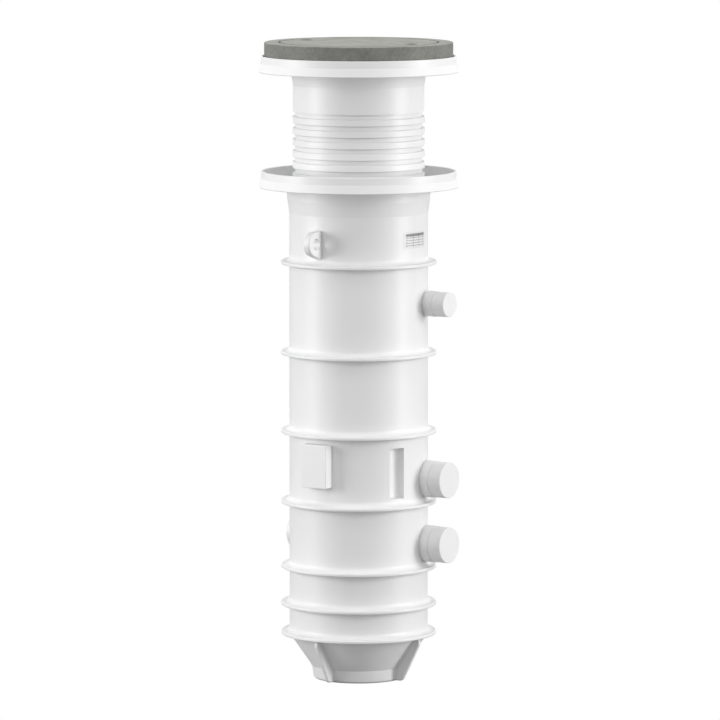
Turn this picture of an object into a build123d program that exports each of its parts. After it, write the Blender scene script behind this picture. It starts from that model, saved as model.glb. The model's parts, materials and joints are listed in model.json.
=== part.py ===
from build123d import *

import os
from math import atan2, cos, degrees, radians, sin, sqrt, tan

os.makedirs("parts", exist_ok=True)

# Pump chamber, all sizes in millimetres.
# The origin is the centre of the base on the ground, +Z is up, +X runs along the inlet stubs
# and -Y faces the side with the raised pad.

# Chamber shell
wall = 10
base_radius = 203
drum_radius = 210
drum_height = 56
cone_height = 144
barrel_radius = 310
barrel_height = 1897
neck_step = 9
neck_taper_height = 62
neck_height = 51
base_edge_round = 6

# Stiffening ribs, heights above the lower end of the barrel
rib_heights = (0, 132, 300, 592, 909, 1262, 1667)
rib_reach = 38
rib_thickness = 15
rib_edge_round = 5
rib_root_fillet = 22

# Fins round the base
fin_count = 4
fin_thickness = 16
fin_foot_reach = 38
fin_top_reach = 23
fin_top_height = 26
fin_foot_gap = 3
fin_corner_round = 22
fin_edge_round = 3
fin_root_fillet = 6

# Dish flanges of the chamber and of the riser
dish_foot_radius = 447
dish_band_radius = 436
dish_skirt_height = 37
dish_band_height = 35
dish_wall = 9
dish_corner = 4
dish_foot_edge = 3
dish_band_step = 1
dish_rim_edge = 2

# Blind pipe stubs
stub_offset = 107
stub_length = 110
stub_shoulder = 2
spigot_length = 64
stub_wall = 8
stub_edge = 2
large_stub_radius = 80
small_stub_radius = 55
lower_inlet_height = 617
upper_inlet_height = 909
vent_height = 1696

# Raised pad for the pressure outlet
pad_width = 134
pad_height = 193
pad_rise = 41
pad_level = 988
pad_corner = 6
pad_edge_round = 3

# Recessed seats for the traverse
groove_angle = 21.6
groove_width = 76
groove_depth = 30
groove_height = 226
groove_level = 953

# Lifting lugs
lug_thickness = 36
lug_root_height = 133
lug_root_level = 1970
lug_eye_level = 1978
lug_eye_reach = 41
lug_nose_radius = 54
lug_hole_radius = 26
lug_edge_round = 7

# Lip seal in the neck
seal_height = 52
seal_shoulder = 9
seal_lip_gap = 0.4

# Telescopic riser
riser_exposed_height = 513
riser_flare_height = 57
riser_plain_height = 117
riser_wall = 9
ring_clearance = 5
riser_groove_depth = 12
riser_top_step = 7
riser_plain_step = 2
ring_pitch = 50.5
ring_height = 28.5
ring_count = 11
ring_edge = 2
riser_tail = 20

# Frame and cover
frame_clearance = 6
frame_height = 124
frame_edge = 3
cover_margin = 53.5
cover_gap = 2
cover_seat_depth = 70
cover_edge = 2
seat_leg = 4
seat_foot = 12
seat_setback = 1
damping_margin = 18
damping_width = 22
damping_height = 4
rest_gap = 0.3
cup_inset = 68.5
cup_radius = 30
cup_depth = 38
cup_wall = 6
cup_bar = 10

# Data plate
plate_width = 160
plate_height = 72
plate_level = 1988
plate_thickness = 1

# Pump
pump_offset = 95
pump_floor_gap = 15
foot_height = 35
foot_radius = 9
foot_circle = 72
suction_plate_thickness = 12
suction_plate_radius = 95
suction_radius = 35
volute_radius = 105
volute_height = 80
volute_wall = 8
volute_bore_radius = 80
volute_mouth_radius = 50
bearing_housing_height = 48
bearing_housing_radius = 70
motor_radius = 82
motor_height = 240
cap_height = 34
housing_flange = 10
housing_taper = 4
shaft_radius = 10
shaft_clearance = 0.05
shaft_gap = 3
impeller_radius = 72
impeller_disc = 7
vane_height = 22
vane_thickness = 6
vane_count = 6
handle_span = 104
handle_rise = 55
handle_rod_radius = 7
handle_bend = 25
boss_rise = 38
boss_wall = 12
boss_blend = 1
shaft_rise = 50
shaft_end_gap = 5
bead_rise = 3
bead_inset = 30
cap_rim = 4
cap_rim_height = 12
cap_ledge = 12
cap_dome = 8
cap_boss_radius = 16
screw_radius = 6
screw_height = 5
gland_reach = 45
gland_hexagon = 14
gland_hexagon_height = 10
gland_nut_radius = 11
gland_nut_height = 16
gland_throat = 5

# Pressure line, a nominal 50 pipe
pipe_radius = 30
pipe_bore = 26
pipe_offset = 30
socket_clearance = 0.1
socket_depth = 25
valve_bottom = 600
check_height = 160
check_radius = 54
check_ball_radius = 33
check_wall = 7
seat_land = 8
seat_height = 22
shoulder_height = 20
elbow_radius = 48

# Coupling and shut-off valve
face_offset = 88
flange_radius = 52
flange_thickness = 16
hook_width = 50
hook_thickness = 15
hook_nose = 8
hook_drop = 14
hook_gap = 1
hook_root = 6
claw_flange = 12
socket_flange = 12
seal_groove_gap = 3
seal_groove_width = 10
seal_groove_depth = 4
bolt_inset = 18
bolt_radius = 5
bolt_head_radius = 9
bolt_head_height = 6
bolt_end = 10
bolt_hole_radius = 5.5
seat_web = 16
web_margin = 4
neck_outer = 34
seat_length = 77
valve_length = 112
valve_body_radius = 50
valve_collar_radius = 42
valve_ball_radius = 36
ball_clearance = 0.3
stem_radius = 8
stem_rise = 72
valve_collar = 20
valve_taper = 8
valve_insert = 15
stem_boss_radius = 14
stem_boss_height = 22
stem_boss_root = 2
stem_gap = 3
stem_socket = 8
stem_socket_cut = 20
insert_overlap = 2
lever_length = 84
lever_width = 20
lever_thickness = 4
lever_eye_margin = 2
lever_tip = 4
grip_wall = 3
grip_round = 4

# Traverse
beam_width = 40
beam_height = 50
beam_wall = 4
beam_offset = 114
saddle_thickness = 6
saddle_clearance = 0.5
seat_foot_thickness = 12

# Level tube
tube_radius = 16
tube_wall = 3
tube_angle = 235
tube_clearance = 80
tube_bottom = 190
tube_top = 1160
bell_radius = 24
bell_height = 60
bell_overlap = 10
bell_crown = 5
clip_levels = (560, 1110)
clip_height = 20
clip_wall = 6

# Levels that follow from the sizes above
barrel_bottom = drum_height + cone_height
barrel_top = barrel_bottom + barrel_height
neck_bottom = barrel_top + neck_taper_height
dish_level = neck_bottom + neck_height
rim_level = dish_level + dish_skirt_height + dish_band_height
inner_radius = barrel_radius - wall
neck_radius = barrel_radius + neck_step
rib_radius = barrel_radius + rib_reach
fin_foot_radius = base_radius + fin_foot_reach
fin_top_radius = barrel_radius + fin_top_reach
stub_reach = barrel_radius + stub_length
spigot_root = stub_reach - stub_edge - spigot_length
pad_reach = barrel_radius + pad_rise
ring_radius = inner_radius - ring_clearance
groove_radius = ring_radius - riser_groove_depth
riser_radius = ring_radius - riser_plain_step
riser_top_radius = ring_radius + riser_top_step
clear_radius = inner_radius
cover_radius = clear_radius + cover_margin
damping_inner_radius = clear_radius + damping_margin
cup_reach = cover_radius - cup_inset
tube_reach = inner_radius - tube_clearance
seal_radius = inner_radius + seal_shoulder
seal_level = dish_level - seal_height
riser_dish_level = dish_level + riser_exposed_height
frame_level = riser_dish_level + dish_wall
frame_top = frame_level + frame_height
frame_radius = dish_band_radius - dish_wall - frame_clearance
ground = Plane.XY


def outline(points, plane=Plane.XZ):
    """Closed polygon on a plane, as a face."""
    with BuildSketch(plane) as shape:
        with BuildLine():
            Polyline(*points, close=True)
        make_face()
    return shape.sketch


def ring_outline(inner, outer, bottom, top, plane=Plane.XZ):
    """Section of a plain ring."""
    return outline([(inner, bottom), (outer, bottom), (outer, top), (inner, top)], plane)


def dish_points(level, mouth):
    """Section of a dish flange whose underside lies at a level."""
    rim = level + dish_skirt_height + dish_band_height
    band_inside = dish_band_radius - dish_wall
    return [
        (mouth, level),
        (dish_foot_radius - dish_foot_edge, level),
        (dish_foot_radius, level + dish_foot_edge),
        (dish_band_radius + dish_band_step, level + dish_skirt_height),
        (dish_band_radius, level + dish_skirt_height + dish_rim_edge),
        (dish_band_radius, rim - dish_rim_edge),
        (dish_band_radius - dish_rim_edge, rim),
        (band_inside + dish_rim_edge, rim),
        (band_inside, rim - dish_rim_edge),
        (band_inside, level + dish_wall + dish_corner),
        (band_inside - dish_corner, level + dish_wall),
        (mouth, level + dish_wall),
    ]


# Chamber body: one moulded shell with its ribs, fins, dish, stubs, pad, lugs and traverse seats
cone_lean = atan2(barrel_radius - drum_radius, cone_height)
corner_rise = wall * tan(cone_lean / 2)
groove_chord = sqrt(barrel_radius**2 - (groove_width / 2) ** 2)
groove_arc = ((groove_width / 2) ** 2 + groove_depth**2) / (2 * groove_depth)
groove_centre = groove_chord - groove_depth + groove_arc
groove_bottom = groove_level - groove_height / 2
groove_points = [
    (groove_centre * cos(radians(angle)), groove_centre * sin(radians(angle)))
    for angle in (-groove_angle, 180 + groove_angle)
]
stubs = (
    (1, lower_inlet_height, large_stub_radius),
    (1, upper_inlet_height, large_stub_radius),
    (1, vent_height, small_stub_radius),
    (-1, lower_inlet_height, large_stub_radius),
)
lug_eye = barrel_radius + lug_eye_reach
fin_root = base_radius / 2
fin_top = barrel_bottom - fin_top_height

with BuildPart() as chamber_body:
    # Fins, with soft outer edges, before the shell runs over their roots
    for turn in range(fin_count):
        fin_plane = Plane.XZ.rotated((0, 0, turn * 360 / fin_count))
        with BuildSketch(fin_plane) as fin_outline:
            with BuildLine():
                Polyline(
                    (fin_root, fin_foot_gap),
                    (fin_foot_radius, fin_foot_gap),
                    (fin_top_radius, fin_top),
                    (fin_top_radius, barrel_bottom + rib_thickness / 2),
                    (fin_root, barrel_bottom + rib_thickness / 2),
                    close=True,
                )
            make_face()
            foot_corner = fin_outline.vertices().filter_by(
                lambda v: v.Z < fin_foot_gap + 1 and v.X**2 + v.Y**2 > base_radius**2)
            fillet(foot_corner, fin_corner_round)
        extrude(amount=fin_thickness / 2, both=True)
    fin_rims = edges().filter_by(
        lambda e: abs(min(abs(e.center().X), abs(e.center().Y)) - fin_thickness / 2) < 0.01
        and e.center().X**2 + e.center().Y**2 > base_radius**2
        and e.center().Z < barrel_bottom)
    fillet(fin_rims, fin_edge_round)

    # Outer form of the drum, cone, barrel and neck
    revolve(outline([
        (0, 0),
        (base_radius - base_edge_round, 0),
        (base_radius, base_edge_round),
        (drum_radius, drum_height),
        (barrel_radius, barrel_bottom),
        (barrel_radius, barrel_top),
        (neck_radius, neck_bottom),
        (neck_radius + 2, dish_level + 1),
        (0, dish_level + 1),
    ]), axis=Axis.Z)

    fin_roots = edges().filter_by(
        lambda e: abs(min(abs(e.center().X), abs(e.center().Y)) - fin_thickness / 2) < 0.01
        and base_radius**2 < e.center().X**2 + e.center().Y**2 < (barrel_radius - 1) ** 2
        and fin_foot_gap < e.center().Z < barrel_bottom)
    fillet(fin_roots, fin_root_fillet)

    # Ribs: rounded rim, flat underside, filleted into the barrel on top
    for height in rib_heights:
        level = barrel_bottom + height
        rim = rib_radius - rib_edge_round
        top = level + rib_thickness
        with BuildSketch(Plane.XZ):
            with BuildLine():
                Line((inner_radius, level), (rim, level))
                RadiusArc((rim, level), (rib_radius, level + rib_edge_round), -rib_edge_round)
                Line((rib_radius, level + rib_edge_round), (rib_radius, top - rib_edge_round))
                RadiusArc((rib_radius, top - rib_edge_round), (rim, top), -rib_edge_round)
                Line((rim, top), (barrel_radius + rib_root_fillet, top))
                RadiusArc((barrel_radius + rib_root_fillet, top), (barrel_radius, top + rib_root_fillet),
                          rib_root_fillet)
                Line((barrel_radius, top + rib_root_fillet), (inner_radius, top + rib_root_fillet))
                Line((inner_radius, top + rib_root_fillet), (inner_radius, level))
            make_face()
        revolve(axis=Axis.Z)

    # Dish flange
    revolve(outline(dish_points(dish_level, inner_radius)), axis=Axis.Z)

    # Stubs, pad and lugs
    for side, level, radius in stubs:
        with BuildSketch(Plane.YZ.offset(side * stub_reach)):
            with Locations((stub_offset, level)):
                Circle(radius)
        extrude(amount=-side * (stub_edge + spigot_length))
        with BuildSketch(Plane.YZ.offset(side * spigot_root)):
            with Locations((stub_offset, level)):
                Circle(radius + stub_shoulder)
        extrude(amount=-side * (spigot_root - inner_radius / 2))
    chamfer(edges().filter_by(lambda e: abs(abs(e.center().X) - stub_reach) < 0.01), stub_edge)
    with BuildSketch(Plane.XZ.offset(pad_reach)):
        with Locations((0, pad_level)):
            RectangleRounded(pad_width, pad_height, pad_corner)
    extrude(amount=-(pad_reach - inner_radius / 2))
    for side in (-1, 1):
        with BuildSketch(Plane.YZ):
            with BuildLine():
                CenterArc((side * lug_eye, lug_eye_level), lug_nose_radius, 0, 360)
                Line((side * inner_radius, lug_root_level - lug_root_height / 2),
                     (side * inner_radius, lug_root_level + lug_root_height / 2))
            make_hull()
        extrude(amount=lug_thickness / 2, both=True)
    lug_rims = edges().filter_by(
        lambda e: abs(abs(e.center().X) - lug_thickness / 2) < 0.01 and abs(e.center().Y) > barrel_radius + 2
        and abs(e.center().Z - lug_root_level) < lug_root_height)
    fillet(lug_rims, lug_edge_round)
    fillet(edges().filter_by(lambda e: abs(e.center().Y + pad_reach) < 0.01), pad_edge_round)

    # Hollow: the wall follows the outer form, the neck has a shoulder for the seal
    revolve(outline([
        (0, wall),
        (base_radius - wall, wall),
        (drum_radius - wall, drum_height + corner_rise),
        (inner_radius, barrel_bottom + corner_rise),
        (inner_radius, seal_level),
        (seal_radius, seal_level),
        (seal_radius, rim_level),
        (0, rim_level),
    ]), axis=Axis.Z, mode=Mode.SUBTRACT)
    for side, level, radius in stubs:
        with BuildSketch(Plane.YZ.offset(side * (stub_reach - stub_wall))):
            with Locations((stub_offset, level)):
                Circle(radius - stub_wall)
        extrude(amount=-side * (stub_reach - inner_radius / 2), mode=Mode.SUBTRACT)
    with BuildSketch(Plane.XZ.offset(pad_reach - wall)):
        with Locations((0, pad_level)):
            Rectangle(pad_width - 2 * wall, pad_height - 2 * wall)
    extrude(amount=-(pad_reach - inner_radius / 2), mode=Mode.SUBTRACT)
    with BuildSketch(Plane.YZ):
        with Locations((lug_eye, lug_eye_level), (-lug_eye, lug_eye_level)):
            Circle(lug_hole_radius)
    extrude(amount=lug_thickness, both=True, mode=Mode.SUBTRACT)

    # Traverse seats: a round-backed ridge inside, hollowed from outside
    with BuildSketch(ground.offset(groove_bottom - wall)):
        with Locations(*groove_points):
            Circle(groove_arc + wall)
        Circle(barrel_radius - wall / 2, mode=Mode.INTERSECT)
    extrude(amount=groove_height + 2 * wall)
    with BuildSketch(ground.offset(groove_bottom)):
        with Locations(*groove_points):
            Circle(groove_arc)
    extrude(amount=groove_height, mode=Mode.SUBTRACT)
chamber_body.part.label = "chamber_body"
export_step(chamber_body.part, "parts/chamber_body.step")


# Lip seal: sits on the shoulder in the neck, its three lips reach towards the riser
seal_lip_radius = ring_radius + seal_lip_gap
seal_back = (seal_radius + seal_lip_radius) / 2
seal_top = seal_level + seal_height
lip_pitch = seal_height / 3
seal_points = [(seal_radius, seal_level), (seal_radius, seal_top)]
for lip in range(3):
    lip_top = seal_top - lip * lip_pitch
    seal_points += [(seal_back, lip_top), (seal_lip_radius, lip_top - lip_pitch / 2)]
seal_points += [(seal_back, seal_level)]
with BuildPart() as lip_seal:
    revolve(outline(seal_points), axis=Axis.Z)
lip_seal.part.label = "lip_seal"
export_step(lip_seal.part, "parts/lip_seal.step")


# Data plate: a thin blank plate bent to the barrel
plate_angle = degrees(plate_width / barrel_radius)
with BuildPart() as data_plate:
    with BuildSketch(ground.offset(plate_level - plate_height / 2)):
        with BuildLine():
            inside = CenterArc((0, 0), barrel_radius, -plate_angle / 2, plate_angle)
            outside = CenterArc((0, 0), barrel_radius + plate_thickness, -plate_angle / 2, plate_angle)
            Line(inside @ 0, outside @ 0)
            Line(inside @ 1, outside @ 1)
        make_face()
    extrude(amount=plate_height)
data_plate.part.label = "data_plate"
export_step(data_plate.part, "parts/data_plate.step")


# Telescopic riser: ringed tube with a dish on top that holds the frame
flare_bottom = riser_dish_level - riser_flare_height
plain_bottom = flare_bottom - riser_plain_height
ring_gap = ring_pitch - ring_height
first_ring_top = plain_bottom - ring_gap
riser_bottom = first_ring_top - (ring_count - 1) * ring_pitch - ring_height - riser_tail
groove_inside = groove_radius - riser_wall
ring_inside = ring_radius - riser_wall
riser_inner = riser_radius - riser_wall
riser_outside = [
    (riser_top_radius, riser_dish_level),
    (riser_radius, flare_bottom),
    (riser_radius, plain_bottom),
]
riser_inside = [
    (riser_top_radius - riser_wall, frame_level),
    (riser_inner, flare_bottom),
    (riser_inner, plain_bottom + 2 * riser_wall),
    (groove_inside, plain_bottom + riser_wall),
]
for ring in range(ring_count):
    top = first_ring_top - ring * ring_pitch
    bottom = top - ring_height
    riser_outside += [
        (groove_radius, top + ring_gap),
        (groove_radius, top),
        (ring_radius - ring_edge, top),
        (ring_radius, top - ring_edge),
        (ring_radius, bottom + ring_edge),
        (ring_radius - ring_edge, bottom),
    ]
    riser_inside += [
        (groove_inside, top - riser_wall),
        (ring_inside, top - riser_wall - 2 * ring_edge),
        (ring_inside, bottom + riser_wall + 2 * ring_edge),
        (groove_inside, bottom + riser_wall),
    ]
riser_outside += [(groove_radius, riser_bottom + riser_tail), (groove_radius, riser_bottom)]
riser_inside += [(groove_inside, riser_bottom)]
with BuildPart() as riser:
    revolve(outline(riser_outside[::-1] + riser_inside), axis=Axis.Z)
    revolve(outline(dish_points(riser_dish_level, riser_top_radius - riser_wall)), axis=Axis.Z)
riser.part.label = "riser"
export_step(riser.part, "parts/riser.step")


# Frame ring: cast ring that stands in the riser's dish and carries the cover
seat_level = frame_top - cover_seat_depth
seat_inside = cover_radius + cover_gap
seat_outside = seat_inside + seat_leg
with BuildPart() as frame_ring:
    revolve(outline([
        (clear_radius, frame_level),
        (frame_radius - frame_edge, frame_level),
        (frame_radius, frame_level + frame_edge),
        (frame_radius, frame_top - frame_edge),
        (frame_radius - frame_edge, frame_top),
        (seat_outside, frame_top),
        (seat_outside, seat_level),
        (clear_radius, seat_level),
    ]), axis=Axis.Z)
frame_ring.part.label = "frame_ring"
export_step(frame_ring.part, "parts/frame_ring.step")


# Seat ring: angle-section iron ring cast into the frame
seat_top = seat_level + seat_foot
with BuildPart() as seat_ring:
    revolve(outline([
        (clear_radius, seat_level),
        (seat_outside, seat_level),
        (seat_outside, frame_top - seat_setback),
        (seat_inside, frame_top - seat_setback),
        (seat_inside, seat_top),
        (clear_radius, seat_top),
    ]), axis=Axis.Z)
seat_ring.part.label = "seat_ring"
export_step(seat_ring.part, "parts/seat_ring.step")


# Damping ring: flat rubber ring under the cover
with BuildPart() as damping_ring:
    revolve(ring_outline(damping_inner_radius, damping_inner_radius + damping_width,
                         seat_top, seat_top + damping_height), axis=Axis.Z)
damping_ring.part.label = "damping_ring"
export_step(damping_ring.part, "parts/damping_ring.step")


# Cover plate, with pockets for the two lifting cups
cover_bottom = seat_top + damping_height + rest_gap
cup_places = [(-cup_reach, 0), (cup_reach, 0)]
bar_level = frame_top - cup_bar
with BuildPart() as cover_plate:
    revolve(outline([
        (0, cover_bottom),
        (cover_radius - cover_edge, cover_bottom),
        (cover_radius, cover_bottom + cover_edge),
        (cover_radius, frame_top - cover_edge),
        (cover_radius - cover_edge, frame_top),
        (0, frame_top),
    ]), axis=Axis.Z)
    with BuildSketch(ground.offset(frame_top)):
        with Locations(*cup_places):
            Circle(cup_radius)
    extrude(amount=-cup_depth, mode=Mode.SUBTRACT)
cover_plate.part.label = "cover_plate"
export_step(cover_plate.part, "parts/cover_plate.step")


# Lifting cups: open cast cups with a cross bar for the lifting hook
with BuildPart() as lifting_cups:
    with BuildSketch(ground.offset(frame_top - cup_depth)):
        with Locations(*cup_places):
            Circle(cup_radius)
    extrude(amount=cup_depth)
    with BuildSketch(ground.offset(frame_top - cup_depth + cup_wall)):
        with Locations(*cup_places):
            Circle(cup_radius - cup_wall)
    extrude(amount=cup_depth, mode=Mode.SUBTRACT)
    with BuildSketch(Plane.XZ):
        with Locations((-cup_reach, bar_level), (cup_reach, bar_level)):
            Circle(cup_bar / 2)
    extrude(amount=cup_radius - cup_wall / 2, both=True)
lifting_cups.part.label = "lifting_cups"
export_step(lifting_cups.part, "parts/lifting_cups.step")


# Pump levels and axes
pump_bottom = wall + pump_floor_gap
suction_level = pump_bottom + foot_height
volute_level = suction_level + suction_plate_thickness
volute_top = volute_level + volute_height
motor_level = volute_top + bearing_housing_height
motor_top = motor_level + motor_height
cap_top = motor_top + cap_height
pump_plane = Plane.XZ.offset(-pump_offset)
pump_axis = Axis((0, pump_offset, 0), (0, 0, 1))
pipe_plane = Plane.XZ.offset(pipe_offset)
pipe_axis = Axis((0, -pipe_offset, 0), (0, 0, 1))

# Suction plate with its three feet
with BuildPart() as suction_plate:
    with BuildSketch(ground.offset(suction_level)):
        with Locations((0, pump_offset)):
            Circle(suction_plate_radius)
            Circle(suction_radius, mode=Mode.SUBTRACT)
    extrude(amount=suction_plate_thickness)
    with BuildSketch(ground.offset(pump_bottom)):
        with Locations((0, pump_offset)):
            with PolarLocations(foot_circle, 3, start_angle=90):
                Circle(foot_radius)
    extrude(amount=foot_height)
suction_plate.part.label = "suction_plate"
export_step(suction_plate.part, "parts/suction_plate.step")


# Volute casing: casing and upright discharge in one casting
boss_radius = pipe_radius + boss_wall
boss_top = volute_top + boss_rise
with BuildPart() as volute_casing:
    with BuildSketch(ground.offset(volute_level)):
        with BuildLine():
            CenterArc((0, pump_offset), volute_radius, 0, 360)
            CenterArc((0, -pipe_offset), boss_radius + volute_wall + boss_blend, 0, 360)
        make_hull()
    extrude(amount=volute_height)
    fillet(edges().filter_by(lambda e: abs(e.center().Z - volute_top) < 0.01), volute_wall)
    with BuildSketch(ground.offset(volute_top - volute_wall)):
        with Locations((0, -pipe_offset)):
            Circle(boss_radius)
    extrude(amount=boss_top - volute_top + volute_wall)
    # Flow passage: round chamber, throat and upright bore with the pipe's socket
    with BuildSketch(ground.offset(volute_level)):
        with Locations((0, pump_offset)):
            Circle(volute_bore_radius)
    extrude(amount=volute_height - volute_wall, mode=Mode.SUBTRACT)
    with BuildSketch(ground.offset(volute_top - 2 * volute_wall)):
        with Locations((0, pump_offset)):
            Circle(volute_mouth_radius)
    extrude(amount=3 * volute_wall, mode=Mode.SUBTRACT)
    with BuildSketch(ground.offset(volute_level + volute_wall)):
        with BuildLine():
            CenterArc((0, pump_offset), volute_bore_radius / 2, 0, 360)
            CenterArc((0, -pipe_offset), pipe_bore, 0, 360)
        make_hull()
    extrude(amount=2 * pipe_bore, mode=Mode.SUBTRACT)
    with BuildSketch(ground.offset(volute_level + volute_wall)):
        with Locations((0, -pipe_offset)):
            Circle(pipe_bore)
    extrude(amount=boss_top - volute_level, mode=Mode.SUBTRACT)
    with BuildSketch(ground.offset(boss_top - socket_depth)):
        with Locations((0, -pipe_offset)):
            Circle(pipe_radius + socket_clearance)
    extrude(amount=socket_depth, mode=Mode.SUBTRACT)
volute_casing.part.label = "volute_casing"
export_step(volute_casing.part, "parts/volute_casing.step")


# Bearing housing between the volute and the motor, with a recess for the bearing
bearing_radius = 22
bearing_height = 20
shaft_hole = shaft_radius + shaft_gap
bearing_level = volute_top + housing_flange
with BuildPart() as bearing_housing:
    revolve(outline([
        (shaft_hole, volute_top),
        (motor_radius, volute_top),
        (motor_radius, volute_top + housing_flange),
        (bearing_housing_radius, volute_top + housing_flange + housing_taper),
        (bearing_housing_radius, motor_level - housing_flange - housing_taper),
        (motor_radius, motor_level - housing_flange),
        (motor_radius, motor_level),
        (shaft_hole, motor_level),
        (shaft_hole, bearing_level + bearing_height),
        (bearing_radius, bearing_level + bearing_height),
        (bearing_radius, bearing_level),
        (shaft_hole, bearing_level),
    ], pump_plane), axis=pump_axis)
bearing_housing.part.label = "bearing_housing"
export_step(bearing_housing.part, "parts/bearing_housing.step")


# Shaft bearing
with BuildPart() as shaft_bearing:
    revolve(ring_outline(shaft_radius + shaft_clearance, bearing_radius, bearing_level,
                         bearing_level + bearing_height, plane=pump_plane), axis=pump_axis)
shaft_bearing.part.label = "shaft_bearing"
export_step(shaft_bearing.part, "parts/shaft_bearing.step")


# Motor housing: sealed jacket with two rolled beads, a pocket for the end of the shaft
shaft_top = motor_level + shaft_rise
with BuildPart() as motor_housing:
    motor_points = [(0, motor_top), (motor_radius, motor_top)]
    for bead_level in (motor_top - bead_inset, motor_level + bead_inset):
        bead_radius = motor_radius + bead_rise
        motor_points += [(motor_radius, bead_level + 2 * bead_rise), (bead_radius, bead_level + bead_rise),
                         (bead_radius, bead_level - bead_rise), (motor_radius, bead_level - 2 * bead_rise)]
    motor_points += [(motor_radius, motor_level), (shaft_hole, motor_level),
                     (shaft_hole, shaft_top + shaft_end_gap), (0, shaft_top + shaft_end_gap)]
    revolve(outline(motor_points, pump_plane), axis=pump_axis)
motor_housing.part.label = "motor_housing"
export_step(motor_housing.part, "parts/motor_housing.step")


# Motor cap: domed lid of the motor with two bosses for the handle and one for the gland
gland_place = (0, pump_offset + gland_reach)
ledge_level = motor_top + cap_rim_height
boss_level = ledge_level + cap_height - cap_dome
handle_places = [(-handle_span / 2, pump_offset), (handle_span / 2, pump_offset)]
with BuildPart() as motor_cap:
    revolve(outline([
        (0, motor_top),
        (motor_radius + cap_rim, motor_top),
        (motor_radius + cap_rim, ledge_level),
        (motor_radius - cap_ledge, ledge_level),
        (motor_radius - cap_ledge - cap_dome, cap_top - cap_dome),
        (motor_radius - cap_ledge - 2 * cap_dome, cap_top),
        (0, cap_top),
    ], pump_plane), axis=pump_axis)
    with BuildSketch(ground.offset(ledge_level)):
        with Locations(*handle_places, gland_place):
            Circle(cap_boss_radius)
    extrude(amount=boss_level - ledge_level)
motor_cap.part.label = "motor_cap"
export_step(motor_cap.part, "parts/motor_cap.step")


# Cap screws: four hexagon heads on the cap's rim
with BuildPart() as cap_screws:
    with BuildSketch(ground.offset(ledge_level)):
        with Locations((0, pump_offset)):
            with PolarLocations(motor_radius - cap_rim, 4, start_angle=45):
                RegularPolygon(screw_radius, 6)
    extrude(amount=screw_height)
cap_screws.part.label = "cap_screws"
export_step(cap_screws.part, "parts/cap_screws.step")


# Pump handle: bent rod that stands on the cap's bosses
with BuildPart() as pump_handle:
    with BuildLine(pump_plane) as handle_path:
        FilletPolyline(
            (-handle_span / 2, boss_level),
            (-handle_span / 2, boss_level + handle_rise),
            (handle_span / 2, boss_level + handle_rise),
            (handle_span / 2, boss_level),
            radius=handle_bend,
        )
    with BuildSketch(ground.offset(boss_level)):
        with Locations(handle_places[0]):
            Circle(handle_rod_radius)
    sweep(path=handle_path.wires()[0])
pump_handle.part.label = "pump_handle"
export_step(pump_handle.part, "parts/pump_handle.step")


# Cable gland: hexagon, nut and open throat, no cable
with BuildPart() as cable_gland:
    with BuildSketch(ground.offset(boss_level)):
        with Locations(gland_place):
            RegularPolygon(gland_hexagon, 6)
    extrude(amount=gland_hexagon_height)
    with BuildSketch(ground.offset(boss_level + gland_hexagon_height)):
        with Locations(gland_place):
            Circle(gland_nut_radius)
    extrude(amount=gland_nut_height, taper=8)
    with BuildSketch(ground.offset(boss_level + gland_hexagon_height / 2)):
        with Locations(gland_place):
            Circle(gland_throat)
    extrude(amount=2 * gland_nut_height, mode=Mode.SUBTRACT)
cable_gland.part.label = "cable_gland"
export_step(cable_gland.part, "parts/cable_gland.step")


# Impeller: hub, disc and curved vanes under it
impeller_top = volute_top - 2 * volute_wall
with BuildPart() as impeller:
    with BuildSketch(ground.offset(impeller_top - impeller_disc)):
        with Locations((0, pump_offset)):
            Circle(impeller_radius)
    extrude(amount=impeller_disc)
    with BuildSketch(ground.offset(impeller_top - impeller_disc - vane_height)):
        with Locations((0, pump_offset)):
            Circle(2 * shaft_radius)
            with PolarLocations(0, vane_count):
                with Locations((impeller_radius / 2, 0)):
                    SlotArc(CenterArc((0, -impeller_radius / 2), impeller_radius / 2, 40, 80), vane_thickness)
    extrude(amount=vane_height)
    with BuildSketch(ground.offset(impeller_top - impeller_disc / 2)):
        with Locations((0, pump_offset)):
            Circle(shaft_radius)
    extrude(amount=impeller_disc, mode=Mode.SUBTRACT)
impeller.part.label = "impeller"
export_step(impeller.part, "parts/impeller.step")


# Pump shaft
with BuildPart() as pump_shaft:
    with BuildSketch(ground.offset(impeller_top - impeller_disc / 2)):
        with Locations((0, pump_offset)):
            Circle(shaft_radius)
    extrude(amount=shaft_top - impeller_top + impeller_disc / 2)
pump_shaft.part.label = "pump_shaft"
export_step(pump_shaft.part, "parts/pump_shaft.step")


# Pressure pipe from the volute's socket to the check valve's socket
with BuildPart() as pressure_pipe:
    revolve(ring_outline(pipe_bore, pipe_radius, boss_top - socket_depth, valve_bottom + socket_depth,
                         plane=pipe_plane), axis=pipe_axis)
pressure_pipe.part.label = "pressure_pipe"
export_step(pressure_pipe.part, "parts/pressure_pipe.step")


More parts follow.
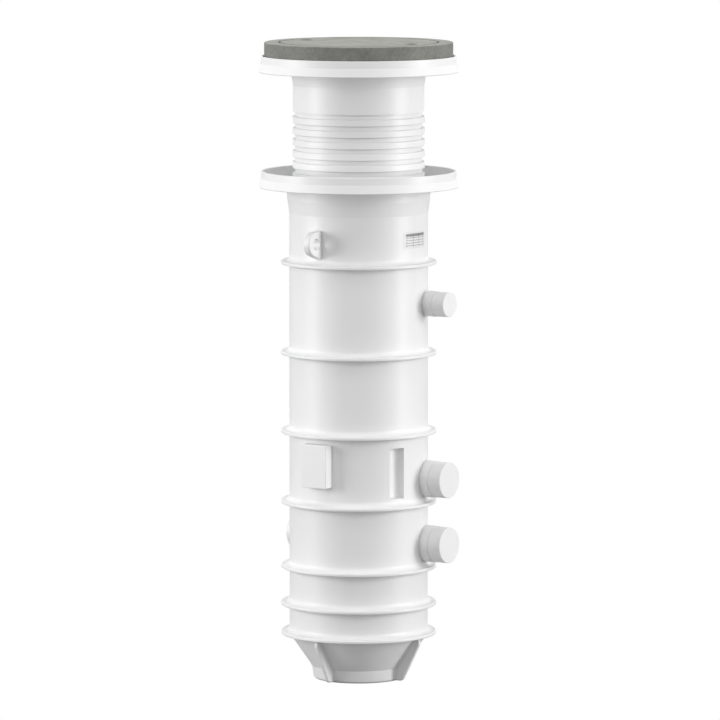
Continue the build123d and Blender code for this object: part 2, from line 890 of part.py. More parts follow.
# Check valve: upright ball valve with a wide ball chamber
check_top = valve_bottom + check_height
check_socket = pipe_radius + socket_clearance
claw_radius = pipe_radius + 2
check_mouth = claw_radius + socket_clearance
ball_room = check_radius - check_wall
collar = boss_radius
seat_rise = valve_bottom + socket_depth + seat_land
with BuildPart() as check_valve:
    revolve(outline([
        (check_socket, valve_bottom),
        (collar, valve_bottom),
        (collar, valve_bottom + socket_depth),
        (check_radius, valve_bottom + socket_depth + shoulder_height),
        (check_radius, check_top - socket_depth - shoulder_height),
        (collar, check_top - socket_depth),
        (collar, check_top),
        (check_mouth, check_top),
        (check_mouth, check_top - socket_depth),
        (pipe_bore, check_top - socket_depth),
        (ball_room, check_top - socket_depth - shoulder_height),
        (ball_room, seat_rise + seat_height),
        (pipe_bore, seat_rise),
        (pipe_bore, valve_bottom + socket_depth),
        (check_socket, valve_bottom + socket_depth),
    ], pipe_plane), axis=pipe_axis)
check_valve.part.label = "check_valve"
export_step(check_valve.part, "parts/check_valve.step")


# Check ball, resting on the valve's conical seat
seat_slope = atan2(seat_height, ball_room - pipe_bore)
ball_level = seat_rise + (check_ball_radius + rest_gap - pipe_bore * sin(seat_slope)) / cos(seat_slope)
with BuildPart() as check_ball:
    with Locations((0, -pipe_offset, ball_level)):
        Sphere(check_ball_radius)
check_ball.part.label = "check_ball"
export_step(check_ball.part, "parts/check_ball.step")


# Coupling claw: elbow with a flat face and a hook that hangs over the seat's flange
line_level = pad_level
claw_bottom = check_top - socket_depth
hook_level = line_level + flange_radius + rest_gap
face_plane = Plane(origin=(0, -face_offset, line_level), x_dir=(1, 0, 0), z_dir=(0, -1, 0))
with BuildPart() as coupling_claw:
    with BuildLine(Plane.YZ) as claw_path:
        FilletPolyline(
            (-pipe_offset, claw_bottom),
            (-pipe_offset, line_level),
            (-face_offset, line_level),
            radius=elbow_radius,
        )
    with BuildSketch(ground.offset(claw_bottom)):
        with Locations((0, -pipe_offset)):
            Circle(claw_radius)
    sweep(path=claw_path.wires()[0])
    with BuildSketch(face_plane):
        Circle(flange_radius)
    extrude(amount=-claw_flange)
    with BuildSketch(Plane.YZ):
        with BuildLine():
            Polyline(
                (-face_offset + claw_flange, line_level + claw_radius - hook_root),
                (-face_offset + claw_flange, hook_level + hook_thickness),
                (-face_offset - flange_thickness - hook_gap - hook_nose, hook_level + hook_thickness),
                (-face_offset - flange_thickness - hook_gap - hook_nose, hook_level - hook_drop),
                (-face_offset - flange_thickness - hook_gap, hook_level - hook_drop),
                (-face_offset - flange_thickness - hook_gap, hook_level),
                (-face_offset, hook_level),
                (-face_offset, line_level + claw_radius - hook_root),
                close=True,
            )
        make_face()
    extrude(amount=hook_width / 2, both=True)
    with BuildSketch(ground.offset(claw_bottom)):
        with Locations((0, -pipe_offset)):
            Circle(pipe_bore)
    sweep(path=claw_path.wires()[0], mode=Mode.SUBTRACT)
coupling_claw.part.label = "coupling_claw"
export_step(coupling_claw.part, "parts/coupling_claw.step")


# Traverse: box-section beam with half-round saddles that hang on the chamber's ridges
beam_top = line_level - flange_radius - 5
beam_bottom = beam_top - beam_height
bolt_places = [(-flange_radius + bolt_inset, -beam_offset), (flange_radius - bolt_inset, -beam_offset)]
ridge_radius = groove_arc + wall
ridge_top = groove_bottom + groove_height + wall
saddle_inner = ridge_radius + saddle_clearance
saddle_outer = saddle_inner + saddle_thickness
saddle_limit = inner_radius - 1
beam_reach = abs(groove_points[0][0]) - saddle_inner / 2
with BuildPart() as traverse:
    with BuildSketch(ground.offset(beam_bottom)):
        with Locations((0, -beam_offset)):
            Rectangle(2 * beam_reach, beam_width)
    extrude(amount=beam_height)
    with BuildSketch(ground.offset(beam_bottom + beam_wall)):
        with Locations((0, -beam_offset)):
            Rectangle(2 * beam_reach - 4 * beam_wall, beam_width - 2 * beam_wall)
    extrude(amount=beam_height - 2 * beam_wall, mode=Mode.SUBTRACT)
    with BuildSketch(ground.offset(beam_bottom)):
        with Locations(*groove_points):
            Circle(saddle_outer)
        Circle(saddle_limit, mode=Mode.INTERSECT)
    extrude(amount=ridge_top + rest_gap + saddle_thickness - beam_bottom)
    with BuildSketch(ground.offset(beam_bottom)):
        with Locations(*groove_points):
            Circle(saddle_inner)
    extrude(amount=ridge_top + rest_gap - beam_bottom, mode=Mode.SUBTRACT)
    with BuildSketch(ground.offset(beam_top)):
        with Locations(*bolt_places):
            Circle(bolt_hole_radius)
    extrude(amount=-beam_wall, mode=Mode.SUBTRACT)
traverse.part.label = "traverse"
export_step(traverse.part, "parts/traverse.step")


# Coupling seat: fixed flange with a face groove for its seal, a short neck and a foot
seat_face = face_offset + rest_gap
seat_end = seat_face + seat_length
line_axis = Axis((0, 0, line_level), (0, 1, 0))
seal_inside = pipe_bore + seal_groove_gap
seal_outside = seal_inside + seal_groove_width
with BuildPart() as coupling_seat:
    revolve(outline([
        (-seat_face, line_level + pipe_bore),
        (-seat_face, line_level + seal_inside),
        (-seat_face - seal_groove_depth, line_level + seal_inside),
        (-seat_face - seal_groove_depth, line_level + seal_outside),
        (-seat_face, line_level + seal_outside),
        (-seat_face, line_level + flange_radius),
        (-seat_face - flange_thickness, line_level + flange_radius),
        (-seat_face - flange_thickness, line_level + neck_outer),
        (-seat_end, line_level + neck_outer),
        (-seat_end, line_level + pipe_bore),
    ], Plane.YZ), axis=line_axis)
    with BuildSketch(ground.offset(beam_top)):
        with Locations((0, -beam_offset)):
            Rectangle(2 * flange_radius, beam_width)
        with Locations(*bolt_places):
            Circle(bolt_hole_radius, mode=Mode.SUBTRACT)
    extrude(amount=seat_foot_thickness)
    with BuildSketch(ground.offset(beam_top + seat_foot_thickness)):
        with Locations((0, -beam_offset - web_margin)):
            Rectangle(seat_web, beam_width - 2 * web_margin)
    extrude(amount=line_level - pipe_bore - seal_groove_gap - beam_top - seat_foot_thickness)
coupling_seat.part.label = "coupling_seat"
export_step(coupling_seat.part, "parts/coupling_seat.step")


# Seat seal: rubber ring in the face groove
with BuildPart() as seat_seal:
    revolve(outline([
        (-seat_face, line_level + seal_inside),
        (-seat_face - seal_groove_depth, line_level + seal_inside),
        (-seat_face - seal_groove_depth, line_level + seal_outside),
        (-seat_face, line_level + seal_outside),
    ], Plane.YZ), axis=line_axis)
seat_seal.part.label = "seat_seal"
export_step(seat_seal.part, "parts/seat_seal.step")


# Seat bolts: two hexagon bolts through the foot into the traverse
bolt_seat = beam_top + seat_foot_thickness
with BuildPart() as seat_bolts:
    with BuildSketch(ground.offset(bolt_seat)):
        with Locations(*bolt_places):
            RegularPolygon(bolt_head_radius, 6)
    extrude(amount=bolt_head_height)
    with BuildSketch(ground.offset(bolt_seat)):
        with Locations(*bolt_places):
            Circle(bolt_radius)
    extrude(amount=-seat_foot_thickness - beam_wall - bolt_end)
seat_bolts.part.label = "seat_bolts"
export_step(seat_bolts.part, "parts/seat_bolts.step")


# Shut-off valve: body with a ball room, screwed end, ball, stem and lever
valve_start = seat_end - valve_insert
valve_centre = valve_start + valve_length / 2
valve_finish = valve_start + valve_length
ball_room_radius = valve_ball_radius + ball_clearance
insert_radius = ball_room_radius + 2
insert_start = valve_centre + sqrt(ball_room_radius**2 - pipe_bore**2)
socket_radius = neck_outer + socket_clearance
with BuildPart() as valve_body:
    revolve(outline([
        (-valve_start, line_level + socket_radius),
        (-valve_start, line_level + valve_collar_radius),
        (-valve_start - valve_collar, line_level + valve_collar_radius),
        (-valve_start - valve_collar - valve_taper, line_level + valve_body_radius),
        (-insert_start, line_level + valve_body_radius),
        (-insert_start, line_level + insert_radius),
        (-valve_centre, line_level + insert_radius),
        (-valve_centre, line_level + pipe_bore),
        (-valve_start - valve_insert, line_level + pipe_bore),
        (-valve_start - valve_insert, line_level + socket_radius),
    ], Plane.YZ), axis=line_axis)
    with BuildSketch(ground.offset(line_level + insert_radius + stem_boss_root)):
        with Locations((0, -valve_centre)):
            Circle(stem_boss_radius)
    extrude(amount=stem_boss_height)
    with Locations((0, -valve_centre, line_level)):
        Sphere(ball_room_radius, mode=Mode.SUBTRACT)
    with BuildSketch(ground.offset(line_level)):
        with Locations((0, -valve_centre)):
            Circle(stem_radius + shaft_clearance)
    extrude(amount=2 * valve_body_radius, mode=Mode.SUBTRACT)
valve_body.part.label = "valve_body"
export_step(valve_body.part, "parts/valve_body.step")


# Valve end: screwed insert that closes the ball room
with BuildPart() as valve_end:
    revolve(outline([
        (-valve_centre - insert_overlap, line_level + pipe_bore),
        (-valve_centre - insert_overlap, line_level + insert_radius),
        (-insert_start, line_level + insert_radius),
        (-insert_start, line_level + valve_collar_radius),
        (-valve_finish, line_level + valve_collar_radius),
        (-valve_finish, line_level + socket_radius),
        (-valve_finish + valve_insert, line_level + socket_radius),
        (-valve_finish + valve_insert, line_level + pipe_bore),
    ], Plane.YZ), axis=line_axis)
    with Locations((0, -valve_centre, line_level)):
        Sphere(ball_room_radius, mode=Mode.SUBTRACT)
    with BuildSketch(ground.offset(line_level)):
        with Locations((0, -valve_centre)):
            Circle(stem_radius + stem_gap)
    extrude(amount=2 * valve_body_radius, mode=Mode.SUBTRACT)
valve_end.part.label = "valve_end"
export_step(valve_end.part, "parts/valve_end.step")


# Valve ball with its bore and the socket for the stem
stem_bottom = line_level + valve_ball_radius - stem_socket
with BuildPart() as valve_ball:
    with Locations((0, -valve_centre, line_level)):
        Sphere(valve_ball_radius)
    with BuildSketch(Plane.XZ.offset(valve_centre - 2 * valve_ball_radius)):
        with Locations((0, line_level)):
            Circle(pipe_bore)
    extrude(amount=4 * valve_ball_radius, mode=Mode.SUBTRACT)
    with BuildSketch(ground.offset(stem_bottom)):
        with Locations((0, -valve_centre)):
            Circle(stem_radius)
    extrude(amount=stem_socket_cut, mode=Mode.SUBTRACT)
valve_ball.part.label = "valve_ball"
export_step(valve_ball.part, "parts/valve_ball.step")


# Valve stem
stem_top = line_level + stem_rise
with BuildPart() as valve_stem:
    with BuildSketch(ground.offset(stem_bottom)):
        with Locations((0, -valve_centre)):
            Circle(stem_radius)
    extrude(amount=stem_top - stem_bottom)
valve_stem.part.label = "valve_stem"
export_step(valve_stem.part, "parts/valve_stem.step")


# Valve lever: flat bar on the stem, and its sleeve
grip_length = lever_length * 0.6
with BuildPart() as valve_lever:
    with BuildSketch(ground.offset(stem_top)):
        with Locations((0, -valve_centre)):
            Circle(lever_width / 2 + lever_eye_margin)
        with Locations((0, -valve_centre + lever_length / 2 - lever_tip / 2)):
            Rectangle(lever_width, lever_length - lever_tip)
    extrude(amount=lever_thickness)
valve_lever.part.label = "valve_lever"
export_step(valve_lever.part, "parts/valve_lever.step")

with BuildPart() as lever_grip:
    with BuildSketch(Plane.XZ.offset(valve_centre - lever_length)):
        with Locations((0, stem_top + lever_thickness / 2)):
            RectangleRounded(lever_width + 2 * grip_wall, lever_thickness + 2 * grip_wall, grip_round)
    extrude(amount=grip_length)
    with BuildSketch(Plane.XZ.offset(valve_centre - lever_length + lever_tip)):
        with Locations((0, stem_top + lever_thickness / 2)):
            Rectangle(lever_width, lever_thickness)
    extrude(amount=grip_length, mode=Mode.SUBTRACT)
lever_grip.part.label = "lever_grip"
export_step(lever_grip.part, "parts/lever_grip.step")


# Pressure socket: pipe and flange welded to the inside of the raised pad
pad_inside = pad_reach - wall
with BuildPart() as pressure_socket:
    revolve(outline([
        (-valve_finish + valve_insert, line_level + pipe_bore),
        (-valve_finish + valve_insert, line_level + neck_outer),
        (-pad_inside + socket_flange, line_level + neck_outer),
        (-pad_inside + socket_flange, line_level + flange_radius),
        (-pad_inside, line_level + flange_radius),
        (-pad_inside, line_level + pipe_bore),
    ], Plane.YZ), axis=line_axis)
pressure_socket.part.label = "pressure_socket"
export_step(pressure_socket.part, "parts/pressure_socket.step")


# Level tube with its bell, and the two clips that carry it from the wall
tube_place = (tube_reach * cos(radians(tube_angle)), tube_reach * sin(radians(tube_angle)))
with BuildPart() as level_tube:
    with BuildSketch(ground.offset(tube_bottom)):
        with Locations(tube_place):
            Circle(tube_radius)
            Circle(tube_radius - tube_wall, mode=Mode.SUBTRACT)
    extrude(amount=tube_top - tube_bottom)
level_tube.part.label = "level_tube"
export_step(level_tube.part, "parts/level_tube.step")

bell_bottom = tube_bottom + bell_overlap - bell_height
with BuildPart() as level_bell:
    with BuildSketch(ground.offset(bell_bottom)):
        with Locations(tube_place):
            Circle(bell_radius)
    extrude(amount=bell_height)
    with BuildSketch(ground.offset(bell_bottom)):
        with Locations(tube_place):
            Circle(bell_radius - tube_wall)
    extrude(amount=tube_bottom - bell_bottom - bell_crown, mode=Mode.SUBTRACT)
    with BuildSketch(ground.offset(tube_bottom - bell_overlap)):
        with Locations(tube_place):
            Circle(tube_radius - tube_wall)
    extrude(amount=2 * bell_overlap, mode=Mode.SUBTRACT)
    with BuildSketch(ground.offset(tube_bottom)):
        with Locations(tube_place):
            Circle(tube_radius)
    extrude(amount=2 * bell_overlap, mode=Mode.SUBTRACT)
level_bell.part.label = "level_bell"
export_step(level_bell.part, "parts/level_bell.step")

clip_arm = inner_radius - tube_reach
with BuildPart() as tube_clips:
    for level in clip_levels:
        with BuildSketch(ground.offset(level)):
            with Locations(tube_place):
                Circle(tube_radius + clip_wall)
            with Locations(Location((0, 0, 0), (0, 0, tube_angle))):
                with Locations((tube_reach + clip_arm / 2 + clip_wall, 0)):
                    Rectangle(clip_arm + 2 * clip_wall, 2 * clip_wall)
            Circle(inner_radius, mode=Mode.INTERSECT)
            with Locations(tube_place):
                Circle(tube_radius, mode=Mode.SUBTRACT)
        extrude(amount=clip_height)
tube_clips.part.label = "tube_clips"
export_step(tube_clips.part, "parts/tube_clips.step")
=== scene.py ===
import json
import math

import bmesh
import bpy
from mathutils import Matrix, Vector

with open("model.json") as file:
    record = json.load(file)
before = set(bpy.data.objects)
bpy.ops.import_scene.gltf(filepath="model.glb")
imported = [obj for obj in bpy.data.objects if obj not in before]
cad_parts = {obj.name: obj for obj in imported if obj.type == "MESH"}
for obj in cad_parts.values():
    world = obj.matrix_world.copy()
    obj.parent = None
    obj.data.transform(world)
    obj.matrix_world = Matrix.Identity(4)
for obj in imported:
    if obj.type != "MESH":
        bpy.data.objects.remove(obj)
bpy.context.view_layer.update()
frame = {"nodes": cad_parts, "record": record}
scene = bpy.context.scene
nodes = frame["nodes"]
print("frame loaded:", len(nodes), "nodes")

# camera and picture
picture = {
    "azimuth": 35.0,
    "distance": 27.0,
    "height": 4.388,
    "aim": (0.0048, 0.0034, 1.4327),
    "lens": 303.5,
    "sensor": 36.0,
    "nearest": 0.5,
    "farthest": 200.0,
    "bounces": 10,
    "diffuseBounces": 5,
}
turn = math.radians(picture["azimuth"])
cameraData = bpy.data.cameras.new("camera")
cameraData.lens = picture["lens"]
cameraData.sensor_width = picture["sensor"]
cameraData.clip_start = picture["nearest"]
cameraData.clip_end = picture["farthest"]
camera = bpy.data.objects.new("camera", cameraData)
camera.location = (
    picture["distance"] * math.sin(turn),
    -picture["distance"] * math.cos(turn),
    picture["height"],
)
camera.rotation_mode = "QUATERNION"
camera.rotation_quaternion = (Vector(picture["aim"]) - camera.location).to_track_quat("-Z", "Y")
scene.collection.objects.link(camera)
scene.camera = camera
scene.view_settings.view_transform = "Standard"
scene.render.film_transparent = False
scene.cycles.max_bounces = picture["bounces"]
scene.cycles.diffuse_bounces = picture["diffuseBounces"]


# sets a node's inputs, and links those whose value is a socket
def feed(tree, node, values):
    for name, value in values.items():
        if isinstance(value, bpy.types.NodeSocket):
            tree.links.new(value, node.inputs[name])
        else:
            node.inputs[name].default_value = value
    return node


# adds a shader node, with its settings before its inputs
def put(tree, kind, values=None, **settings):
    node = tree.nodes.new("ShaderNode" + kind)
    for name, value in settings.items():
        setattr(node, name, value)
    return feed(tree, node, values or {})


# a shader node group with its named sockets, and its two end nodes
def newGroup(name, inputs, outputs):
    group = bpy.data.node_groups.new(name, "ShaderNodeTree")
    for label, kind, value in inputs:
        socket = group.interface.new_socket(label, in_out="INPUT", socket_type=kind)
        socket.default_value = value
    for label, kind in outputs:
        group.interface.new_socket(label, in_out="OUTPUT", socket_type=kind)
    return group, group.nodes.new("NodeGroupInput"), group.nodes.new("NodeGroupOutput")


def useGroup(tree, group, values):
    node = tree.nodes.new("ShaderNodeGroup")
    node.node_tree = group
    return feed(tree, node, values)


# the value, clamped and rescaled from one span to another
def ramp(tree, value, low, high, fromLow=0.0, fromHigh=1.0):
    spans = {"From Min": fromLow, "From Max": fromHigh, "To Min": low, "To Max": high}
    return put(tree, "MapRange", {"Value": value, **spans}).outputs["Result"]


def maths(tree, operation, first, second=None):
    values = {0: first}
    if second is not None:
        values[1] = second
    return put(tree, "Math", values, operation=operation).outputs[0]


def scaled(tree, vector, factor):
    return put(tree, "VectorMath", {0: vector, "Scale": factor}, operation="SCALE").outputs["Vector"]


def mixColor(tree, factor, first, second):
    node = tree.nodes.new("ShaderNodeMix")
    node.data_type = "RGBA"
    return feed(tree, node, {0: factor, 6: first, 7: second}).outputs[2]


# how far a value lies from a middle
def offFrom(tree, value, middle):
    return maths(tree, "ABSOLUTE", maths(tree, "SUBTRACT", value, middle))


# grain: a fine surface with slow changes of tone and gloss
grainLook = {
    "fineDetail": 3.0, "reliefHeight": 0.0005, "glossSwing": 0.04,
    "slowScale": 4.0, "slowDetail": 4.0, "slowRoughness": 0.6, "noiseLow": 0.3, "noiseHigh": 0.7,
}
grain, grainIn, grainOut = newGroup(
    "surfaceGrain",
    [
        ("Scale", "NodeSocketFloat", 400.0),
        ("Depth", "NodeSocketFloat", 0.1),
        ("Stretch", "NodeSocketVector", (1.0, 1.0, 1.0)),
        ("Spread", "NodeSocketFloat", 0.05),
    ],
    [("Tone", "NodeSocketFloat"), ("Gloss", "NodeSocketFloat"), ("Normal", "NodeSocketVector")],
)
place = put(grain, "TexCoord").outputs["Object"]
stretched = put(grain, "Mapping", {"Vector": place, "Scale": grainIn.outputs["Stretch"]})
fine = put(grain, "TexNoise", {
    "Vector": stretched.outputs["Vector"],
    "Scale": grainIn.outputs["Scale"],
    "Detail": grainLook["fineDetail"],
})
slow = put(grain, "TexNoise", {
    "Vector": place,
    "Scale": grainLook["slowScale"],
    "Detail": grainLook["slowDetail"],
    "Roughness": grainLook["slowRoughness"],
})
relief = put(grain, "Bump", {
    "Strength": grainIn.outputs["Depth"],
    "Distance": grainLook["reliefHeight"],
    "Height": fine.outputs["Fac"],
})
noiseSpan = grainLook["noiseLow"], grainLook["noiseHigh"]
lowest = maths(grain, "SUBTRACT", 1.0, grainIn.outputs["Spread"])
tone = ramp(grain, slow.outputs["Fac"], lowest, 1.0, *noiseSpan)
gloss = ramp(grain, fine.outputs["Fac"], -grainLook["glossSwing"], grainLook["glossSwing"], *noiseSpan)
feed(grain, grainOut, {"Tone": tone, "Gloss": gloss, "Normal": relief.outputs["Normal"]})

# creases: a painted crease shade mask from ambient occlusion, 1 deep in a corner and 0 on open faces
creaseLook = {"power": 1.5, "samples": 8}
crease, creaseIn, creaseOut = newGroup(
    "creaseShadeMask",
    [("Reach", "NodeSocketFloat", 0.02), ("Power", "NodeSocketFloat", creaseLook["power"])],
    [("Mask", "NodeSocketFloat")],
)
around = {"Distance": creaseIn.outputs["Reach"]}
nearby = put(crease, "AmbientOcclusion", around, samples=creaseLook["samples"])
hidden = maths(crease, "SUBTRACT", 1.0, nearby.outputs["AO"])
feed(crease, creaseOut, {"Mask": maths(crease, "POWER", hidden, creaseIn.outputs["Power"])})

# aggregate: sand and small stones of a cast concrete face
aggregateLook = {
    "sandScale": 60.0, "sandDetail": 8.0, "sandRoughness": 0.7, "pitHeight": 0.001,
    "cloudScale": 9.0, "cloudDetail": 5.0, "cloudRoughness": 0.65, "cloudLow": 0.75, "cloudHigh": 1.25,
    "stoneNear": 0.05, "stoneFar": 0.22,
}
aggregate, aggregateIn, aggregateOut = newGroup(
    "castAggregate",
    [("Stone", "NodeSocketFloat", 120.0), ("Depth", "NodeSocketFloat", 0.3)],
    [("Mottle", "NodeSocketFloat"), ("Speck", "NodeSocketFloat"), ("Normal", "NodeSocketVector")],
)
spot = put(aggregate, "TexCoord").outputs["Object"]
sand = put(aggregate, "TexNoise", {
    "Vector": spot,
    "Scale": aggregateLook["sandScale"],
    "Detail": aggregateLook["sandDetail"],
    "Roughness": aggregateLook["sandRoughness"],
})
cloud = put(aggregate, "TexNoise", {
    "Vector": spot,
    "Scale": aggregateLook["cloudScale"],
    "Detail": aggregateLook["cloudDetail"],
    "Roughness": aggregateLook["cloudRoughness"],
})
stones = put(aggregate, "TexVoronoi", {"Vector": spot, "Scale": aggregateIn.outputs["Stone"]})
both = maths(aggregate, "ADD", sand.outputs["Fac"], cloud.outputs["Fac"])
mottle = ramp(aggregate, both, 0.0, 1.0, aggregateLook["cloudLow"], aggregateLook["cloudHigh"])
stoneSpan = aggregateLook["stoneNear"], aggregateLook["stoneFar"]
speck = ramp(aggregate, stones.outputs["Distance"], 1.0, 0.0, *stoneSpan)
pitted = put(aggregate, "Bump", {
    "Strength": aggregateIn.outputs["Depth"],
    "Distance": aggregateLook["pitHeight"],
    "Height": sand.outputs["Fac"],
})
feed(aggregate, aggregateOut, {"Mottle": mottle, "Speck": speck, "Normal": pitted.outputs["Normal"]})
print("node groups ready")


# an empty node material: its tree and its principled shader
def newMaterial(name):
    material = bpy.data.materials.new(name)
    material.use_nodes = True
    tree = material.node_tree
    tree.nodes.clear()
    shader = tree.nodes.new("ShaderNodeBsdfPrincipled")
    out = tree.nodes.new("ShaderNodeOutputMaterial")
    tree.links.new(shader.outputs["BSDF"], out.inputs["Surface"])
    return material, tree, shader


def color(rgb):
    return (*rgb, 1.0)


# a solid finish with fine grain, slow tone and painted shade that darkens its creases
def plainFinish(name, look):
    material, tree, shader = newMaterial(name)
    surface = useGroup(tree, grain, {
        "Scale": look["scale"],
        "Depth": look["depth"],
        "Stretch": look.get("stretch", (1.0, 1.0, 1.0)),
        "Spread": look["spread"],
    })
    corners = useGroup(tree, crease, {"Reach": look["reach"], "Power": creaseLook["power"]})
    # painted shade: corners and creases are darkened towards the crease shade colour
    creaseShadeShare = maths(tree, "MULTIPLY", corners.outputs["Mask"], look["creaseShadeShare"])
    shaded = mixColor(tree, creaseShadeShare, color(look["color"]), color(look["creaseShadeColor"]))
    feed(tree, shader, {
        "Base Color": scaled(tree, shaded, surface.outputs["Tone"]),
        "Roughness": maths(tree, "ADD", surface.outputs["Gloss"], look["roughness"]),
        "Normal": surface.outputs["Normal"],
        "Metallic": look["metal"],
        "IOR": look.get("ior", 1.5),
        "Anisotropic": look.get("anisotropic", 0.0),
    })
    return material


# each finish's crease colour and share set the painted shade in its creases and corners
plasticLook = {
    "color": (0.86, 0.86, 0.86), "creaseShadeColor": (0.42, 0.43, 0.44), "roughness": 0.42, "metal": 0.0,
    "scale": 700.0, "depth": 0.06, "spread": 0.02, "reach": 0.016, "creaseShadeShare": 0.8,
}
pipeLook = {
    "color": (0.42, 0.43, 0.44), "creaseShadeColor": (0.2, 0.2, 0.21), "roughness": 0.38, "metal": 0.0,
    "scale": 900.0, "depth": 0.04, "spread": 0.04, "reach": 0.01, "creaseShadeShare": 0.6,
}
gripLook = {
    "color": (0.55, 0.08, 0.06), "creaseShadeColor": (0.25, 0.03, 0.03), "roughness": 0.45, "metal": 0.0,
    "scale": 900.0, "depth": 0.08, "spread": 0.05, "reach": 0.004, "creaseShadeShare": 0.6,
}
castLook = {
    "color": (0.07, 0.07, 0.075), "creaseShadeColor": (0.03, 0.03, 0.03), "roughness": 0.55, "metal": 0.0,
    "scale": 260.0, "depth": 0.45, "spread": 0.15, "reach": 0.01, "creaseShadeShare": 0.7,
}
pumpLook = {
    "color": (0.05, 0.09, 0.14), "creaseShadeColor": (0.02, 0.03, 0.05), "roughness": 0.36, "metal": 0.0,
    "scale": 240.0, "depth": 0.3, "spread": 0.08, "reach": 0.01, "creaseShadeShare": 0.6,
}
steelLook = {
    "color": (0.62, 0.62, 0.61), "creaseShadeColor": (0.35, 0.34, 0.33), "roughness": 0.28, "metal": 1.0,
    "scale": 900.0, "depth": 0.08, "spread": 0.06, "reach": 0.006, "creaseShadeShare": 0.5,
    "stretch": (1.0, 1.0, 0.04), "anisotropic": 0.4,
}
brassLook = {
    "color": (0.72, 0.55, 0.3), "creaseShadeColor": (0.35, 0.24, 0.1), "roughness": 0.3, "metal": 1.0,
    "scale": 500.0, "depth": 0.08, "spread": 0.1, "reach": 0.006, "creaseShadeShare": 0.6,
}
rubberLook = {
    "color": (0.03, 0.03, 0.03), "creaseShadeColor": (0.015, 0.015, 0.015), "roughness": 0.7, "metal": 0.0,
    "scale": 500.0, "depth": 0.15, "spread": 0.15, "reach": 0.005, "creaseShadeShare": 0.6,
}

materials = {
    "white_plastic": plainFinish("whitePlastic", plasticLook),
    "pipe_plastic": plainFinish("pipePlastic", pipeLook),
    "grip_plastic": plainFinish("gripVinyl", gripLook),
    "cast_iron": plainFinish("coatedIron", castLook),
    "pump_iron": plainFinish("paintedIron", pumpLook),
    "stainless": plainFinish("brushedSteel", steelLook),
    "brass": plainFinish("plainBrass", brassLook),
    "rubber": plainFinish("sealRubber", rubberLook),
}

# concrete of the frame ring and of the cover, with the dark seam between them and painted top light on
# upward faces
concreteLook = {
    "dark": (0.155, 0.155, 0.142), "light": (0.25, 0.25, 0.23), "roughness": 0.85, "depth": 0.4,
    "speck": (0.33, 0.33, 0.31), "speckShare": 0.35, "stone": 150.0,
    "paintedTopLight": 1.8, "slopeLow": 0.6, "slopeHigh": 0.9,
    "seamGap": 0.001, "seamInner": 0.0027, "seamOuter": 0.0063, "seamShare": 0.95,
    "seamColor": (0.02, 0.02, 0.018),
}
coverRadius = max(vertex.co.x for vertex in nodes["cover_plate"].data.vertices)


def concreteFinish(name, look):
    material, tree, shader = newMaterial(name)
    faces = useGroup(tree, aggregate, {"Stone": look["stone"], "Depth": look["depth"]})
    body = mixColor(tree, faces.outputs["Mottle"], color(look["dark"]), color(look["light"]))
    specks = maths(tree, "MULTIPLY", faces.outputs["Speck"], look["speckShare"])
    specked = mixColor(tree, specks, body, color(look["speck"]))
    at = put(tree, "TexCoord")
    upward = put(tree, "SeparateXYZ", {"Vector": at.outputs["Normal"]}).outputs["Z"]
    # painted top light: faces turned upward get a lighter base colour
    paintedTopLight = ramp(tree, upward, 1.0, look["paintedTopLight"], look["slopeLow"], look["slopeHigh"])
    topLitColor = scaled(tree, specked, paintedTopLight)
    flat = put(tree, "VectorMath", {0: at.outputs["Object"], 1: (1.0, 1.0, 0.0)}, operation="MULTIPLY")
    radius = put(tree, "VectorMath", {0: flat.outputs["Vector"]}, operation="LENGTH").outputs["Value"]
    fromSeam = offFrom(tree, radius, coverRadius + look["seamGap"])
    # darker in a narrow band along the seam between the cover and its frame ring
    seamDarkening = ramp(tree, fromSeam, look["seamShare"], 0.0, look["seamInner"], look["seamOuter"])
    feed(tree, shader, {
        "Base Color": mixColor(tree, seamDarkening, topLitColor, color(look["seamColor"])),
        "Roughness": look["roughness"],
        "Normal": faces.outputs["Normal"],
    })
    return material


materials["concrete"] = concreteFinish("castConcrete", concreteLook)

# data plate with ruled rows and columns, a darker head row and empty fields
plateLook = {
    "color": (0.78, 0.78, 0.78), "ruleColor": (0.08, 0.08, 0.085), "headColor": (0.3, 0.3, 0.31),
    "middle": 1.988, "halfHeight": 0.03, "halfWidth": 0.07,
    "rowPitch": 0.0115, "columnPitch": 0.042, "ruleWidth": 0.0016, "headRow": 1.5,
    "roughness": 0.35, "scale": 900.0, "depth": 0.03, "spread": 0.03,
}


# lines of one width at each pitch along a value
def ruled(tree, value, pitch, width):
    share = maths(tree, "FRACT", maths(tree, "DIVIDE", value, pitch))
    return maths(tree, "LESS_THAN", offFrom(tree, share, 0.5), width / pitch / 2)


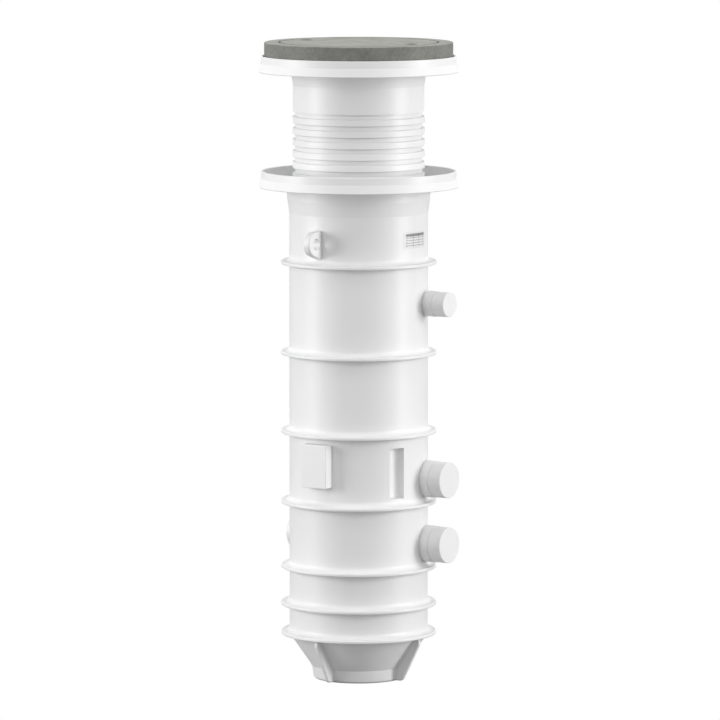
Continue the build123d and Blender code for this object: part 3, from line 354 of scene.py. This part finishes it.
def plateFinish(name, look):
    material, tree, shader = newMaterial(name)
    axes = put(tree, "SeparateXYZ", {"Vector": put(tree, "TexCoord").outputs["Object"]})
    across, up = axes.outputs["Y"], axes.outputs["Z"]
    lifted = maths(tree, "SUBTRACT", up, look["middle"] - look["rowPitch"] / 2)
    rows = ruled(tree, lifted, look["rowPitch"], look["ruleWidth"])
    columns = ruled(tree, across, look["columnPitch"], look["ruleWidth"])
    inWidth = maths(tree, "LESS_THAN", maths(tree, "ABSOLUTE", across), look["halfWidth"])
    inHeight = maths(tree, "LESS_THAN", offFrom(tree, up, look["middle"]), look["halfHeight"])
    inside = maths(tree, "MULTIPLY", inWidth, inHeight)
    head = maths(tree, "GREATER_THAN", up, look["middle"] + look["headRow"] * look["rowPitch"])
    headed = maths(tree, "MULTIPLY", inside, head)
    field = mixColor(tree, headed, color(look["color"]), color(look["headColor"]))
    rules = maths(tree, "MULTIPLY", inside, maths(tree, "MAXIMUM", rows, columns))
    surface = useGroup(tree, grain, {
        "Scale": look["scale"],
        "Depth": look["depth"],
        "Spread": look["spread"],
    })
    feed(tree, shader, {
        "Base Color": mixColor(tree, rules, field, color(look["ruleColor"])),
        "Roughness": look["roughness"],
        "Normal": surface.outputs["Normal"],
    })
    return material


materials["plate"] = plateFinish("ruledPlate", plateLook)

for part in frame["record"]["subparts"]:
    mesh = nodes[part["node"]].data
    mesh.materials.clear()
    mesh.materials.append(materials[part["material_slot"]])
print("materials on the frame:", len(materials))

# floor, lights and background
studio = {
    "floorSize": 60.0,
    "floorDrop": 0.0005,
    "floorColor": (0.3, 0.3, 0.3),
    "worldLevel": 0.57,
    "lights": (
        ("leftLight", -80.0, 6.0, 12.0, 760.0, (4.0, 6.0)),
        ("rightLight", 76.0, 6.0, 12.0, 800.0, (3.0, 6.0)),
        ("leftFill", -48.0, 26.0, 20.0, 220.0, (4.0, 4.0)),
        ("rightFill", 52.0, 26.0, 20.0, 200.0, (4.0, 4.0)),
        ("highLight", -3.0, 64.0, 20.0, 380.0, (4.0, 4.0)),
        ("topLight", 0.0, 89.0, 16.0, 360.0, (8.0, 8.0)),
    ),
    "aim": (0.0, 0.0, 1.5),
}

floorMesh = bpy.data.meshes.new("floor")
sheet = bmesh.new()
bmesh.ops.create_grid(sheet, x_segments=1, y_segments=1, size=studio["floorSize"] / 2)
sheet.to_mesh(floorMesh)
sheet.free()
floor = bpy.data.objects.new("floor", floorMesh)
floor.location.z = -studio["floorDrop"]
scene.collection.objects.link(floor)
floorMaterial = bpy.data.materials.new("paleFloor")
floorMaterial.use_nodes = True
floorTree = floorMaterial.node_tree
floorTree.nodes.clear()
seen = put(floorTree, "LightPath").outputs["Is Camera Ray"]
paint = put(floorTree, "BsdfDiffuse", {"Color": color(studio["floorColor"])})
glow = put(floorTree, "Emission", {"Color": (1.0, 1.0, 1.0, 1.0), "Strength": 1.0})
shown = put(floorTree, "MixShader", {0: seen, 1: paint.outputs[0], 2: glow.outputs[0]})
put(floorTree, "OutputMaterial", {"Surface": shown.outputs[0]})
floorMesh.materials.append(floorMaterial)

for name, side, lift, reach, energy, size in studio["lights"]:
    data = bpy.data.lights.new(name, "AREA")
    data.shape = "RECTANGLE"
    data.size, data.size_y = size
    data.energy = energy
    angle, rise = turn + math.radians(side), math.radians(lift)
    toLamp = Vector((math.sin(angle) * math.cos(rise), -math.cos(angle) * math.cos(rise), math.sin(rise)))
    lamp = bpy.data.objects.new(name, data)
    lamp.location = Vector(studio["aim"]) + reach * toLamp
    lamp.rotation_mode = "QUATERNION"
    lamp.rotation_quaternion = (-toLamp).to_track_quat("-Z", "Y")
    scene.collection.objects.link(lamp)

world = bpy.data.worlds.new("studio")
world.use_nodes = True
scene.world = world
sky = world.node_tree
sky.nodes.clear()
ray = put(sky, "LightPath").outputs
mirrored = maths(sky, "MAXIMUM", ray["Is Camera Ray"], ray["Is Glossy Ray"])
clear = maths(sky, "MAXIMUM", mirrored, ray["Is Transmission Ray"])
level = ramp(sky, clear, studio["worldLevel"], 1.0)
background = put(sky, "Background", {"Color": (1.0, 1.0, 1.0, 1.0), "Strength": level})
put(sky, "OutputWorld", {"Surface": background.outputs[0]})
print("stage and lights ready")
